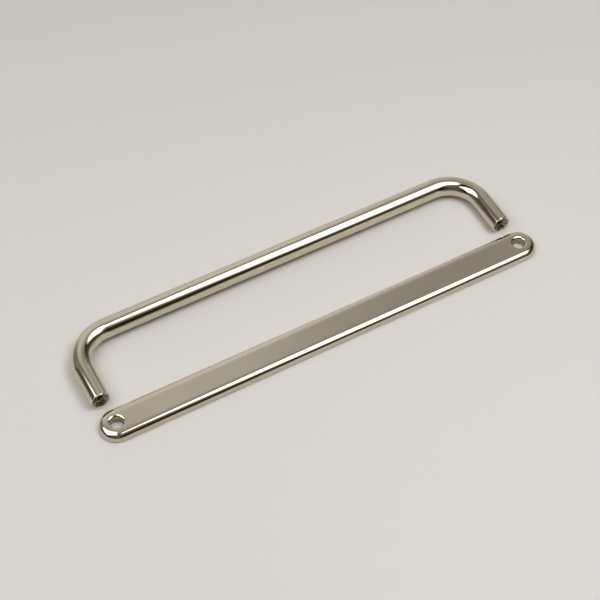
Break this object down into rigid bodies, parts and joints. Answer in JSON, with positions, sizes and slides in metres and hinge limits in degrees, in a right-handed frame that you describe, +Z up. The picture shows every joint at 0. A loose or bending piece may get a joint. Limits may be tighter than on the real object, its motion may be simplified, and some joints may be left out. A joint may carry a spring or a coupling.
{
  "type": "bridge pull handle with backplate",
  "caption": "Low bridge pull handle bent from a solid round rod, with tapped leg ends, and its crowned round-ended backplate lying beside it, in polished nickel.",
  "frame": {"origin": "middle of the footprint of both pieces, on the surface that they lie on", "axes": "+X along the bar and the backplate, +Y from the backplate towards the grip, +Z up from the surface; the legs' end faces look along -Y, and the backplate's crowned face looks up"},
  "size_m": [0.1724, 0.046, 0.0072],
  "materials": {
    "pull_bar": "polished nickel plate over solid brass, mirror bright and slightly warm",
    "backplate": "polished nickel plate over solid brass, mirror bright and slightly warm"
  },
  "bodies": {
    "root": {"pull_bar": "pull_bar", "backplate": "backplate"}
  },
  "joints": []
}
